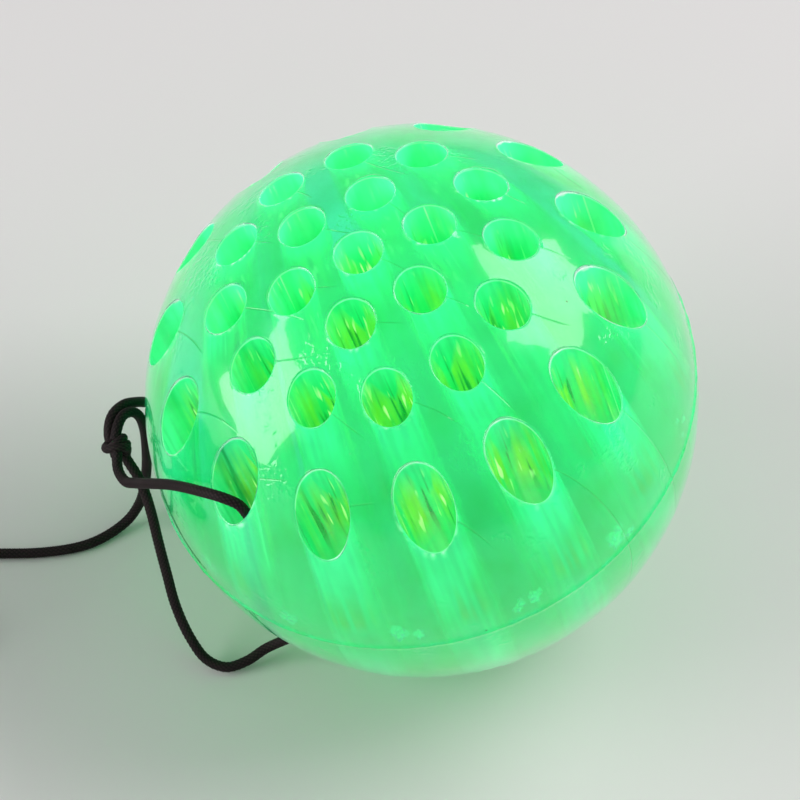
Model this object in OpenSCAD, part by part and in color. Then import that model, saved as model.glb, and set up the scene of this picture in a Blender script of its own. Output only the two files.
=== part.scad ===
// Wrist return ball: a soft moulded ball, pierced by parallel bores, tied on an elastic cord
// that ends in a hook-and-loop wrist strap. Millimetres, origin at the ball's centre, +Z up.
// The ball rests on the rim of one bore of its inner ring, and the strap stands on its edge.

/* [Ball] */
// Outside diameter of the ball
ball_d = 65; // [60:0.5:80]
// Diameter of the centre bore and of the two inner rings of bores
bore_d = 5.6; // [4:0.1:7]
// Diameter of the outer ring of bores
outer_bore_d = 6.5; // [4:0.1:7.8]
// Radius of the inner ring of bores
inner_ring_r = 8.5; // [7.2:0.1:10]
// Radius of the middle ring of bores
middle_ring_r = 16.5; // [15.5:0.1:18.5]
// Radius of the outer ring of bores
outer_ring_r = 25.9; // [24.6:0.1:26]
// Number of bores in the inner ring
inner_ring_n = 6; // [5:1:6]
// Number of bores in the middle ring
middle_ring_n = 12; // [8:1:13]
// Number of bores in the outer ring
outer_ring_n = 14; // [8:1:16]
// Height of the flash line that the mould leaves round the ball
flash_h = 0.25; // [0.1:0.05:0.6]
// Width of the flash line at its foot
flash_w = 0.6; // [0.3:0.1:1.2]
// Direction in which the ball leans, as an angle round Z
lean_dir = 202.3; // [0:0.1:360]

/* [Cord] */
// Diameter of the elastic cord
cord_d = 1.3; // [1:0.1:1.6]
// Diameter of the knots
knot_d = 4; // [3:0.1:4.4]
// Turns in each layer of the coil
coil_turns = 3.5; // [2:0.5:4]
// Radius of the coil's outer turn, at the cord's centre
coil_r = 11; // [9.5:0.5:12]
// Gap between the coil's turns and between its layers
coil_clear = 0.5; // [0.45:0.05:0.9]
// Thickness of the tie round the coil
tie_t = 0.4; // [0.3:0.1:0.8]
// Width of the tie
tie_w = 4; // [2:0.5:6]

/* [Strap] */
// Inside diameter of the closed strap
strap_d = 50; // [46:1:60]
// Width of the webbing
strap_w = 20; // [16:1:30]
// Thickness of the webbing
strap_t = 1.2; // [0.8:0.1:1.6]
// Thickness of the hook patch and of the loop patch
patch_t = 1; // [0.6:0.1:1.5]
// Width of the two patches
patch_w = 16; // [10:1:16]
// Angle that each patch covers
patch_angle = 70; // [50:1:70]
// Thickness of the sewing thread
thread_t = 0.3; // [0.2:0.05:0.5]
// Length of one stitch
stitch_l = 2; // [1.5:0.1:2.5]
// Distance between the strap's cord side and the coil
strap_gap = 3.2; // [2:0.1:6]

/* [Eyelet] */
// Bore of the eyelet that the cord passes through
eyelet_bore = 2.6; // [2:0.1:3.4]
// Wall of the eyelet's barrel
eyelet_wall = 0.5; // [0.3:0.1:0.8]
// Diameter of the eyelet's flanges
eyelet_flange_d = 6.6; // [5:0.1:8]
// Thickness of the eyelet's flanges
eyelet_flange_t = 0.5; // [0.3:0.1:0.8]

/* [Hidden] */
$fn = 96;
// Gap between pieces that lie on each other without being joined
seat = 0.05;
// Gap between the hook patch and the loop patch, and between other moving faces
run_gap = 0.3;

ball_r = ball_d / 2;
cord_r = cord_d / 2;
ball_lean = asin(inner_ring_r / ball_r);
table_z = -sqrt(ball_r ^ 2 - (bore_d / 2) ^ 2);

// Centre of the knot that closes the loop, and the routes of the cord as laid, point by point
ball_knot_at = [-36, -4.3, -3.9];
loop_route = [
    [-35.7, -5.7, -3.2], [-35.5, -7.6, -4], [-34.6, -9.7, -3.4], [-33.2, -11.9, -0.8], [-31.3, -14.6, 2.9],
    [-28.2, -18, 7.3], [-25, -20.9, 10.2], [-22.5, -22.6, 11.4], [-20.9, -23, 10.8], [-20, -22.8, 8.9],
    [-19.2, -22, 5.6], [-17.9, -20.5, 0], [-16.4, -19, -7], [-14.9, -18.2, -13], [-13.8, -17.6, -18.4],
    [-13.4, -16.8, -23], [-14.2, -15.6, -26.4], [-16, -14.9, -28.8], [-18.2, -15.2, -30.2],
    [-20.6, -16.5, -31.1], [-23, -17.2, -31.4], [-25.4, -16.5, -30.8], [-27.4, -14.8, -28.6],
    [-29.1, -12.7, -25], [-30.2, -10.8, -20.5], [-31.1, -9.4, -16], [-31.8, -8.3, -12], [-32.5, -7.4, -9],
    [-33.3, -6.4, -7.2], [-34.4, -5.3, -5.8], [-35.4, -4.3, -4.6]];
tail_route = [
    [-36.6, -3.3, -4.3], [-36.8, -1.9, -3.5], [-36.4, -0.3, -3.1], [-35.3, 1.4, -3.5], [-33.9, 3.3, -5.4],
    [-32.7, 5.6, -8.5], [-32, 7.6, -11.6]];
drop_route = [
    [-36, -4.1, -3.2], [-35.7, -2.5, -2.5], [-35.2, -0.9, -2.6], [-34.3, 0.4, -3.5], [-33.5, 1.3, -5.4],
    [-33, 1.9, -8.6], [-32.9, 2.6, -13], [-33.1, 3.6, -19], [-33.6, 4.5, -24.4], [-34.4, 4.8, -28.4],
    [-35.8, 4.2, -30.9], [-38, 2.6, -31.7]];
table_route = [
    [-41, 0.8, -31.7], [-45.6, -0.3, -31.7], [-51.5, -0.6, -31.7], [-57, -0.4, -31.6], [-61, 0, -31.4]];

// The coil: its centre, the height of its lower layer on the tie, and where the cord enters and leaves it
coil_step = cord_d + coil_clear;
coil_x = -68;
coil_y = -coil_r;
coil_z = table_z + tie_t + 2 * seat + cord_r;
coil_in = [coil_x + cord_d, 0, coil_z];
coil_out = [coil_x - cord_d, 0, coil_z + coil_step];
coil_inner_r = coil_r - coil_turns * coil_step;
lead_route = concat(table_route, [coil_in + [2 * cord_d, 0, 0], coil_in]);
drop_n = len(drop_route);

// The strap: its centre, heights and the radii of its layers, from the wrist outwards
strap_r = strap_d / 2;
strap_x = coil_x - coil_r - cord_r - strap_gap - strap_r - strap_t;
strap_z = table_z + strap_w / 2;
loop_r = strap_r + strap_t + seat;
hook_r = loop_r + patch_t + run_gap;
flap_r = hook_r + patch_t + seat;
strap_end_a = 215;
ramp_a = 180;
hinge_a = 213;
hinge_gap_a = 0.6;
patch_a = 225;
flap_tip_a = patch_a + patch_angle + 10;
strap_steps = 120;
eyelet_d = eyelet_bore + 2 * eyelet_wall;
eyelet_hole_d = eyelet_d + 4 * seat;
// The inner flange is flat and the webbing is curved, so the flange lies inside the curve
eyelet_in_x = strap_x + sqrt(strap_r ^ 2 - (eyelet_flange_d / 2) ^ 2) - seat;
eyelet_out_x = strap_x + strap_r + strap_t + seat;
strap_knot_at = [eyelet_in_x - eyelet_flange_t - knot_d / 2 - seat, 0, strap_z];
// The cord's climb from the coil to the eyelet, as shares of the way along and of the way up
end_run = eyelet_out_x - coil_out.x;
end_rise = strap_z - coil_out.z;
end_route = [
    coil_out, coil_out + [-1.5 * cord_d, 0, 0], coil_out + [0.37 * end_run, 0, 0.33 * end_rise],
    coil_out + [0.63 * end_run, 0, 0.75 * end_rise], [eyelet_out_x + 3 * eyelet_flange_t, 0, strap_z],
    [eyelet_out_x - 2 * eyelet_flange_t, 0, strap_z], strap_knot_at + [knot_d / 4, 0, 0]];

patch_z = strap_z - patch_w / 2;
stitch_margin = 1;
stitch_pitch = 1.5 * stitch_l;

green = [0.2, 0.86, 0.42];
cord_black = [0.15, 0.13, 0.14];
webbing_black = [0.1, 0.1, 0.11];
patch_black = [0.17, 0.17, 0.18];
thread_grey = [0.25, 0.25, 0.26];
nickel = [0.75, 0.74, 0.71];
tie_white = [0.9, 0.9, 0.88];

function unit(v) = v / norm(v);

// Directions along a route: at each point, from the point before to the point after
function tangents(p) =
    let (n = len(p))
    [for (i = [0:n - 1]) unit(p[min(i + 1, n - 1)] - p[max(i - 1, 0)])];

// A vector square to the first direction, carried along the route with the least turning
function square_to(t) = unit(cross(t, abs(t.z) < 0.7 ? [0, 0, 1] : [1, 0, 0]));
function turned(v, t) = is_undef(t) ? v : unit(v - (v * t) * t);
function carried(t) =
    [for (i = 0, v = square_to(t[0]); i < len(t); i = i + 1, v = turned(v, t[i])) v];

// One closed tube along the points from first to last of a route, with a ring of so many sides at each
module tube(route, sides, first = 0, last = undef) {
    dirs = tangents(route);
    ups = carried(dirs);
    stop = is_undef(last) ? len(route) - 1 : last;
    rings = stop - first + 1;
    points = [for (i = [first:stop], k = [0:sides - 1]) let (a = 360 * k / sides)
        route[i] + cord_r * (cos(a) * ups[i] + sin(a) * cross(dirs[i], ups[i]))];
    walls = [for (i = [0:rings - 2], k = [0:sides - 1])
        let (a = i * sides + k, b = i * sides + (k + 1) % sides)
        each [[a, a + sides, b], [b, a + sides, b + sides]]];
    caps = [for (k = [1:sides - 2])
        let (z = (rings - 1) * sides)
        each [[0, k, k + 1], [z, z + k + 1, z + k]]];
    polyhedron(points, concat(walls, caps), 4);
}

// The coil: the lower layer winds in, the upper layer winds out, and the cord climbs in the half turn between
loop_rings = 24;
coil_steps = 2 * coil_turns * loop_rings;
function climb(x) = let (u = min(1, max(0, x))) u * u * (3 - 2 * u);
function coil_point(i) =
    let (turn = i / loop_rings,
         r = coil_inner_r + coil_step * abs(turn - coil_turns),
         rise = coil_step * climb((turn - coil_turns) * 2 + 0.5),
         a = 90 + 360 * turn)
    [coil_x + r * cos(a), coil_y + r * sin(a), coil_z + rise];
coil_route = concat([coil_in], [for (i = [0:coil_steps]) coil_point(i)], [coil_out]);
coil_gap = min([for (i = [0:coil_steps - loop_rings / 2], j = [i + loop_rings / 2:coil_steps])
    norm(coil_point(i) - coil_point(j))]) - cord_d;
echo("least gap of the coil to itself, mm", coil_gap);

module place_ball() {
    rotate([0, ball_lean, lean_dir])
        children();
}

module bore_ring(count, radius, diameter, start) {
    for (i = [0:count - 1])
        rotate(start + 360 * i / count)
            translate([radius, 0, 0])
                cylinder(d = diameter, h = ball_d + 2, center = true);
}

// Section of the flash line: a low ridge, rooted in the ball
flash_section = [
    [ball_r - flash_h, -flash_w / 2], [ball_r, -flash_w / 2], [ball_r + flash_h, 0],
    [ball_r, flash_w / 2], [ball_r - flash_h, flash_w / 2]];

module ball() {
    color(green)
        place_ball()
            difference() {
                union() {
                    sphere(r = ball_r);
                    rotate_extrude()
                        polygon(flash_section);
                }
                cylinder(d = bore_d, h = ball_d + 2, center = true);
                bore_ring(inner_ring_n, inner_ring_r, bore_d, 0);
                bore_ring(middle_ring_n, middle_ring_r, bore_d, 180 / middle_ring_n);
                bore_ring(outer_ring_n, outer_ring_r, outer_bore_d, 0);
            }
}

module cord_loop() {
    color(cord_black)
        tube(loop_route, 8);
}

module ball_knot() {
    color(cord_black)
        translate(ball_knot_at)
            sphere(d = knot_d);
}

module cord_tail() {
    color(cord_black)
        tube(tail_route, 8);
}

// The drop and the lead are one cord, so both take their rings from the whole route
module cord_drop() {
    color(cord_black)
        tube(concat(drop_route, lead_route), 8, 0, drop_n - 1);
}

module cord_lead() {
    color(cord_black)
        tube(concat(drop_route, lead_route), 8, drop_n - 1);
}

module cord_coil() {
    color(cord_black)
        tube(coil_route, 6);
}

// A flat band round both layers of the coil, on the side away from the lead
module coil_tie() {
    turns_w = coil_r - coil_inner_r + 1.5 * coil_step + cord_d;
    turns_h = coil_step + cord_d;
    outer = [tie_w, turns_w + 2 * tie_t + 2 * seat, turns_h + 2 * tie_t + 4 * seat];
    inner = [tie_w + 1, outer.y - 2 * tie_t, outer.z - 2 * tie_t];
    middle_r = coil_r + cord_r + seat + tie_t - outer.y / 2;
    color(tie_white)
        translate([coil_x, coil_y - middle_r, table_z + outer.z / 2])
            difference() {
                cube(outer, center = true);
                cube(inner, center = true);
            }
}

module cord_end() {
    color(cord_black)
        tube(end_route, 8);
}

module strap_knot() {
    color(cord_black)
        translate(strap_knot_at)
            sphere(d = knot_d);
}

module eyelet() {
    barrel_l = eyelet_out_x + eyelet_flange_t - (eyelet_in_x - eyelet_flange_t);
    color(nickel)
        translate([eyelet_in_x - eyelet_flange_t, 0, strap_z])
            rotate([0, 90, 0])
                difference() {
                    union() {
                        cylinder(d = eyelet_d, h = barrel_l);
                        cylinder(d = eyelet_flange_d, h = eyelet_flange_t);
                        translate([0, 0, barrel_l - eyelet_flange_t])
                            cylinder(d = eyelet_flange_d, h = eyelet_flange_t);
                    }
                    translate([0, 0, -1])
                        cylinder(d = eyelet_bore, h = barrel_l + 2);
                }
}

// A curved band round the strap's centre, from one angle to another
module band(radius, thick, low, height, from_a, to_a) {
    translate([strap_x, 0, low])
        rotate(from_a)
            rotate_extrude(angle = to_a - from_a)
                translate([radius, 0])
                    square([thick, height]);
}

// The webbing goes once round the wrist, then climbs to lie over its own end
webbing_from_a = strap_end_a - 360;
webbing_to_a = hinge_a - hinge_gap_a;
function webbing_r(a) = strap_r + (flap_r - strap_r) * climb((a - ramp_a) / (webbing_to_a - ramp_a));

module wrist_strap() {
    turn_a = (webbing_to_a - webbing_from_a) / strap_steps;
    angles = [for (i = [0:strap_steps]) webbing_from_a + i * turn_a];
    back = [for (i = [0:strap_steps]) webbing_to_a - i * turn_a];
    inside = [for (a = angles) webbing_r(a) * [cos(a), sin(a)]];
    outside = [for (a = back) (webbing_r(a) + strap_t) * [cos(a), sin(a)]];
    color(webbing_black)
        difference() {
            translate([strap_x, 0, table_z])
                linear_extrude(strap_w)
                    polygon(concat(inside, outside));
            translate([strap_x + strap_r - 1, 0, strap_z])
                rotate([0, 90, 0])
                    cylinder(d = eyelet_hole_d, h = strap_t + 2);
        }
}

module strap_flap() {
    color(webbing_black)
        band(flap_r, strap_t, table_z, strap_w, hinge_a, flap_tip_a);
}

module loop_patch() {
    color(patch_black)
        band(loop_r, patch_t, patch_z, patch_w, patch_a, patch_a + patch_angle);
}

module hook_patch() {
    color(patch_black)
        band(hook_r, patch_t, patch_z, patch_w, patch_a, patch_a + patch_angle);
}

// Two rows of stitches along a patch's long edges, lying on the surface of radius r
module stitch_rows(r) {
    step_a = stitch_pitch / r * 180 / PI;
    margin_a = stitch_margin / r * 180 / PI;
    count = floor((patch_angle - 2 * margin_a) / step_a);
    for (i = [0:count - 1], side = [-1, 1])
        translate([strap_x, 0, strap_z + side * (patch_w / 2 - stitch_margin)])
            rotate(patch_a + margin_a + (i + 0.5) * step_a)
                translate([r + thread_t / 2, 0, 0])
                    cube([thread_t, stitch_l, thread_t], center = true);
}

// The loop patch is sewn through the webbing: its stitches show on the inside of the strap
module strap_stitching() {
    bow = strap_r - sqrt(strap_r ^ 2 - (stitch_l / 2) ^ 2);
    color(thread_grey)
        stitch_rows(strap_r - thread_t - bow - seat);
}

// The hook patch is sewn through the flap: its stitches show on the outside
module flap_stitching() {
    color(thread_grey)
        stitch_rows(flap_r + strap_t + seat);
}

ball();
cord_loop();
ball_knot();
cord_tail();
cord_drop();
cord_lead();
cord_coil();
coil_tie();
cord_end();
strap_knot();
eyelet();
wrist_strap();
strap_flap();
loop_patch();
hook_patch();
strap_stitching();
flap_stitching();
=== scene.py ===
"""A wrist return ball: a pierced soft ball on an elastic cord that ends in a hook-and-loop wrist strap."""

import math
import random
from functools import partial

import bmesh
import bpy
import numpy as np
from bpy.props import FloatProperty, FloatVectorProperty, PointerProperty
from mathutils import Matrix, Vector, noise
from mathutils.geometry import delaunay_2d_cdt


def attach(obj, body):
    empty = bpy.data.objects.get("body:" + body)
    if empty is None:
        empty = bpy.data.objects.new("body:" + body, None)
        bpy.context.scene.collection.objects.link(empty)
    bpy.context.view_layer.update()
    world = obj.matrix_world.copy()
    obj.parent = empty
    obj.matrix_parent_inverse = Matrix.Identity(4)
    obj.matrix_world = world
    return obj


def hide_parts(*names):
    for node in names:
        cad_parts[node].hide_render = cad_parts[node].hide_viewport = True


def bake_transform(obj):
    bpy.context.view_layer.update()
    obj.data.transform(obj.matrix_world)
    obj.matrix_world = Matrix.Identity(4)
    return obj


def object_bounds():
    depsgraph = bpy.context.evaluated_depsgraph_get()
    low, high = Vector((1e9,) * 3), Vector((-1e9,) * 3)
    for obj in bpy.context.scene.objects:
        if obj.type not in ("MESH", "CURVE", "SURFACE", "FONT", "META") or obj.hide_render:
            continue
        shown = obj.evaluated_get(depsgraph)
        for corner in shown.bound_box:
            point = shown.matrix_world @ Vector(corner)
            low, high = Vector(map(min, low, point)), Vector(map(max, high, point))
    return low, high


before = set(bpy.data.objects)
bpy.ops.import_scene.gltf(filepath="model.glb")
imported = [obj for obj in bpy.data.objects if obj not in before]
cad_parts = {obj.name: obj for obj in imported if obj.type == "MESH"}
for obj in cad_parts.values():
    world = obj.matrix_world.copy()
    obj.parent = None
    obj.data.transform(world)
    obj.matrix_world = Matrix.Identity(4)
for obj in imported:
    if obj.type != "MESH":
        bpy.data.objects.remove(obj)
CAD_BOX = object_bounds()

bl_info = {
    "name": "Wrist Return Ball",
    "version": (1, 0, 0),
    "blender": (4, 5, 0),
    "location": "View3D > Sidebar > Wrist Ball",
    "description": "Builds a pierced soft ball on an elastic cord with a wrist strap",
    "category": "Add Mesh",
}

MM = 0.001


def linear(code):
    """An sRGB hex colour as linear RGBA."""
    shares = [int(code[i:i + 2], 16) / 255 for i in (1, 3, 5)]
    return (*[s / 12.92 if s <= 0.04045 else ((s + 0.055) / 1.055) ** 2.4 for s in shares], 1.0)


def per_mm(size):
    """The scale that gives a texture's pattern this size in millimetres."""
    return 1 / (size * MM)


def add_node(tree, kind, links=(), out=None, **settings):
    """Adds a node and returns its first output, or the one that out names. Settings are its properties; links
    feed its inputs with other nodes' outputs or with values, in order or by name."""
    node = tree.nodes.new("ShaderNode" + kind)
    for name, value in settings.items():
        setattr(node, name, value)
    if not isinstance(links, dict):
        links = dict(zip([i for i, socket in enumerate(node.inputs) if socket.enabled], links))
    for name, value in links.items():
        if isinstance(value, bpy.types.NodeSocket):
            tree.links.new(value, node.inputs[name])
        else:
            node.inputs[name].default_value = value
    return node.outputs[out] if out else next((socket for socket in node.outputs if socket.enabled), None)


def new_material(name):
    """A material with an empty node tree, and the function that adds nodes to it."""
    material = bpy.data.materials.new(name)
    material.use_nodes = True
    material.node_tree.nodes.clear()
    return material, partial(add_node, material.node_tree)


def mesh_object(name, points, faces, material, place=None, flat=()):
    """A smooth-shaded mesh object in the scene; the faces numbered in flat stay flat."""
    mesh = bpy.data.meshes.new(name)
    mesh.from_pydata(np.asarray(points, float).tolist(), [], [list(f) for f in faces])
    mesh.shade_smooth()
    for i in flat:
        mesh.polygons[i].use_smooth = False
    mesh.materials.append(material)
    obj = bpy.data.objects.new(name, mesh)
    bpy.context.scene.collection.objects.link(obj)
    if place is not None:
        mesh.transform(place)
    return obj


def mark(obj, name, values):
    """Keeps one number per vertex, for the material to read."""
    attribute = obj.data.attributes.new(name, "FLOAT", "POINT")
    attribute.data.foreach_set("value", np.asarray(values, np.float32))


def eased(x):
    """0 below 0, 1 above 1, and a smooth climb between."""
    u = np.clip(x, 0.0, 1.0)
    return u * u * (3 - 2 * u)


def carried(line):
    """Directions along a line of points, and two square to them, carried along with the least turning."""
    ways = np.gradient(line, axis=0)
    ways /= np.linalg.norm(ways, axis=1)[:, None]
    side = np.cross(ways[0], (0, 0, 1) if abs(ways[0][2]) < 0.7 else (1, 0, 0))
    sides = np.empty_like(ways)
    for i, way in enumerate(ways):
        side = side - way * (side @ way)
        side /= np.linalg.norm(side)
        sides[i] = side
    return ways, sides, np.cross(ways, sides)


def between_rings(n, sides):
    """Faces of four points between rings that follow each other, as an array of rings by sides."""
    here = np.arange(n - 1)[:, None] * sides + np.arange(sides)
    beside = np.arange(n - 1)[:, None] * sides + (np.arange(sides) + 1) % sides
    return np.stack([here, here + sides, beside + sides, beside], axis=-1)


def tube(line, radii):
    """Points and faces of a tube along a line, closed at both ends; radii has a row for each point."""
    _, across, up = carried(line)
    n, sides = radii.shape
    turn = 2 * np.pi * np.arange(sides) / sides
    rim = across[:, None] * np.cos(turn)[None, :, None] + up[:, None] * np.sin(turn)[None, :, None]
    points = (line[:, None] + radii[..., None] * rim).reshape(-1, 3)
    faces = between_rings(n, sides)[..., (0, 3, 2, 1)].reshape(-1, 4).tolist()
    faces.append(list(range(sides))[::-1])
    faces.append(list(range((n - 1) * sides, n * sides)))
    return points, faces


def joined(parts):
    """Many sets of points and faces as one."""
    points, faces, start = [], [], 0
    for some, their in parts:
        points.append(some)
        faces += [[start + i for i in f] for f in their]
        start += len(some)
    return np.vstack(points), faces


# Cord

class CordSizes(bpy.types.PropertyGroup):
    """Size and colours of the elastic cord"""
    diameter: FloatProperty(
        name="Diameter", description="Diameter of the cord", default=1.3 * MM, unit="LENGTH")
    pitch: FloatProperty(
        name="Braid pitch", description="Length of one crossing of yarns", default=0.6 * MM, unit="LENGTH")
    crown: FloatVectorProperty(
        name="Yarn", description="Colour of the yarn on top", default=linear("#3A2C2E")[:3], subtype="COLOR")
    # The crevice colour is painted shade between the yarns
    crevice_shade: FloatVectorProperty(
        name="Crevice", description="Colour between yarns", default=linear("#040303")[:3], subtype="COLOR")


# The routes of part.scad, point by point, in millimetres
LOOP_ROUTE = (
    (-35.7, -5.7, -3.2), (-35.5, -7.6, -4), (-34.6, -9.7, -3.4), (-33.2, -11.9, -0.8), (-31.3, -14.6, 2.9),
    (-28.2, -18, 7.3), (-25, -20.9, 10.2), (-22.5, -22.6, 11.4), (-20.9, -23, 10.8), (-20, -22.8, 8.9),
    (-19.2, -22, 5.6), (-17.9, -20.5, 0), (-16.4, -19, -7), (-14.9, -18.2, -13), (-13.8, -17.6, -18.4),
    (-13.4, -16.8, -23), (-14.2, -15.6, -26.4), (-16, -14.9, -28.8), (-18.2, -15.2, -30.2),
    (-20.6, -16.5, -31.1), (-23, -17.2, -31.4), (-25.4, -16.5, -30.8), (-27.4, -14.8, -28.6),
    (-29.1, -12.7, -25), (-30.2, -10.8, -20.5), (-31.1, -9.4, -16), (-31.8, -8.3, -12), (-32.5, -7.4, -9),
    (-33.3, -6.4, -7.2), (-34.4, -5.3, -5.8), (-35.4, -4.3, -4.6))
TAIL_ROUTE = (
    (-36.6, -3.3, -4.3), (-36.8, -1.9, -3.5), (-36.4, -0.3, -3.1), (-35.3, 1.4, -3.5), (-33.9, 3.3, -5.4),
    (-32.7, 5.6, -8.5), (-32, 7.6, -11.6))
DROP_ROUTE = (
    (-36, -4.1, -3.2), (-35.7, -2.5, -2.5), (-35.2, -0.9, -2.6), (-34.3, 0.4, -3.5), (-33.5, 1.3, -5.4),
    (-33, 1.9, -8.6), (-32.9, 2.6, -13), (-33.1, 3.6, -19), (-33.6, 4.5, -24.4), (-34.4, 4.8, -28.4),
    (-35.8, 4.2, -30.9), (-38, 2.6, -31.7))
TABLE_ROUTE = (
    (-41, 0.8, -31.7), (-45.6, -0.3, -31.7), (-51.5, -0.6, -31.7), (-57, -0.4, -31.6), (-61, 0, -31.4),
    (-64.1, 0, -31.229), (-66.7, 0, -31.229))
END_ROUTE = (
    (-69.3, 0, -29.429), (-71.25, 0, -29.429), (-74.295, 0, -27.1), (-77.805, 0, -24.14),
    (-81.3, 0, -22.379), (-83.8, 0, -22.379), (-85.87, 0, -22.379))
COIL_X, COIL_Y, COIL_Z = -68, -11, -31.229
COIL_INNER, COIL_STEP, COIL_TURNS, COIL_POINTS = 4.7, 1.8, 3.5, 24
BALL_KNOT = np.array((-36, -4.3, -3.9)) * MM
STRAP_KNOT = np.array((-86.87, 0, -22.379)) * MM
CARRIERS = 8
BRAID_SIDES = 32
BRAID_STEP = 0.15 * MM


def coil_route():
    """The lower layer winds in, the upper one winds out, and the cord climbs in the half turn between."""
    route = []
    for i in range(int(2 * COIL_TURNS * COIL_POINTS) + 1):
        turn = i / COIL_POINTS
        r = COIL_INNER + COIL_STEP * abs(turn - COIL_TURNS)
        a = math.pi / 2 + 2 * math.pi * turn
        rise = COIL_STEP * float(eased((turn - COIL_TURNS) * 2 + 0.5))
        route.append((COIL_X + r * math.cos(a), COIL_Y + r * math.sin(a), COIL_Z + rise))
    return route


def along(route, step):
    """Points an even step apart on a smooth curve through a route's points."""
    p = np.array(route, float)
    p = np.vstack([2 * p[0] - p[1], p, 2 * p[-1] - p[-2]])
    fine = []
    for a, b, c, d in zip(p, p[1:], p[2:], p[3:]):
        ka = 0.0
        kb = ka + np.linalg.norm(b - a) ** 0.5
        kc = kb + np.linalg.norm(c - b) ** 0.5
        kd = kc + np.linalg.norm(d - c) ** 0.5
        t = np.linspace(kb, kc, 16, endpoint=False)[:, None]
        ab = ((kb - t) * a + (t - ka) * b) / (kb - ka)
        bc = ((kc - t) * b + (t - kb) * c) / (kc - kb)
        cd = ((kd - t) * c + (t - kc) * d) / (kd - kc)
        abc = ((kc - t) * ab + (t - ka) * bc) / (kc - ka)
        bcd = ((kd - t) * bc + (t - kb) * cd) / (kd - kb)
        fine.append(((kc - t) * abc + (t - kb) * bcd) / (kc - kb))
    fine = np.vstack([*fine, p[-2:-1]])
    way = np.concatenate([[0], np.cumsum(np.linalg.norm(np.diff(fine, axis=0), axis=1))])
    at = np.linspace(0, way[-1], max(3, round(way[-1] / step) + 1))
    return np.stack([np.interp(at, way, fine[:, i]) for i in range(3)], axis=1)


def braided(line, radius, pitch):
    """A braided cover round a line: points, faces and, for each point, how high it stands in the braid."""
    way = np.concatenate([[0], np.cumsum(np.linalg.norm(np.diff(line, axis=0), axis=1))])[:, None]
    around = CARRIERS * np.arange(BRAID_SIDES)[None, :] / BRAID_SIDES
    u, v = around + way / pitch, around - way / pitch
    over = (np.floor(u) + np.floor(v)) % 2 < 1
    across = np.where(over, u, v) % 1 - 0.5
    length = np.where(over, v, u) % 1 - 0.5
    height = np.cos(np.pi * across) ** 0.6 * (0.35 + 0.65 * np.cos(np.pi * length))
    points, faces = tube(line, radius * (0.85 + 0.15 * height))
    return points, faces, height.ravel()


def knot_line(centre, axis, wrap, length, turns, lift):
    """The cord of a tight knot: it winds round the legs, comes back across its own turns and tucks in."""
    axis = np.array(axis, float) / np.linalg.norm(axis)
    one = np.cross(axis, (0, 0, 1))
    one /= np.linalg.norm(one)
    two = np.cross(axis, one)
    route = []
    for t in np.linspace(0, 1, int(10 * turns)):
        a = 2 * math.pi * turns * t
        r = wrap * (0.35 + 0.65 * float(eased(min(t, 1.2 - t) * 7)))
        route.append(centre + axis * length * (t - 0.5) + r * (math.cos(a) * one + math.sin(a) * two))
    last = 2 * math.pi * turns
    for t in np.linspace(0.12, 1, 9):
        a = last + 1.35 * math.pi * t
        r = wrap + lift * math.sin(math.pi * min(1.0, 0.25 + t * 0.9)) - 0.6 * wrap * float(eased(t * 4 - 3))
        route.append(centre + axis * length * (0.58 - 1.16 * t) + r * (math.cos(a) * one + math.sin(a) * two))
    return along(route, BRAID_STEP)


def braided_elastic(s):
    """Rubber-cored elastic in a braided polyester cover: matt black-brown yarn crowns with a soft sheen, and
    crevices between them painted dark, as painted shade."""
    material, add = new_material("braided_polyester_elastic")
    place = add("TexCoord", out="Object")
    height = add("Attribute", out="Fac", attribute_name="braid")
    # Filaments are about 0.02 mm; they are drawn at 0.16 mm so that they show
    fibre = add("TexNoise", (place, per_mm(0.16), 2.0))
    worn = add("TexNoise", (place, per_mm(3), 2.0))
    # The braid's crevices are painted dark, as painted shade between the yarns
    tone = add("MapRange", (height, 0.3, 1.0, -0.45, 0.35))
    tone = add("Math", (fibre, 0.6, tone), operation="MULTIPLY_ADD")
    tone = add("Math", (worn, 0.4, tone), operation="MULTIPLY_ADD")
    colour = add("Mix", (tone, (*s.crevice_shade, 1), (*s.crown, 1)), data_type="RGBA")
    rough = add("MapRange", (fibre, 0.0, 1.0, 0.55, 0.8))
    bump = add("Bump", {"Height": fibre, "Strength": 0.35, "Distance": 0.05 * MM})
    shader = add("BsdfPrincipled", {
        "Base Color": colour, "Roughness": rough, "Normal": bump, "Specular IOR Level": 0.2,
        "Sheen Weight": 0.05, "Sheen Roughness": 0.4, "Sheen Tint": linear("#B8A4A8")})
    add("OutputMaterial", {"Surface": shader})
    return material


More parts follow.
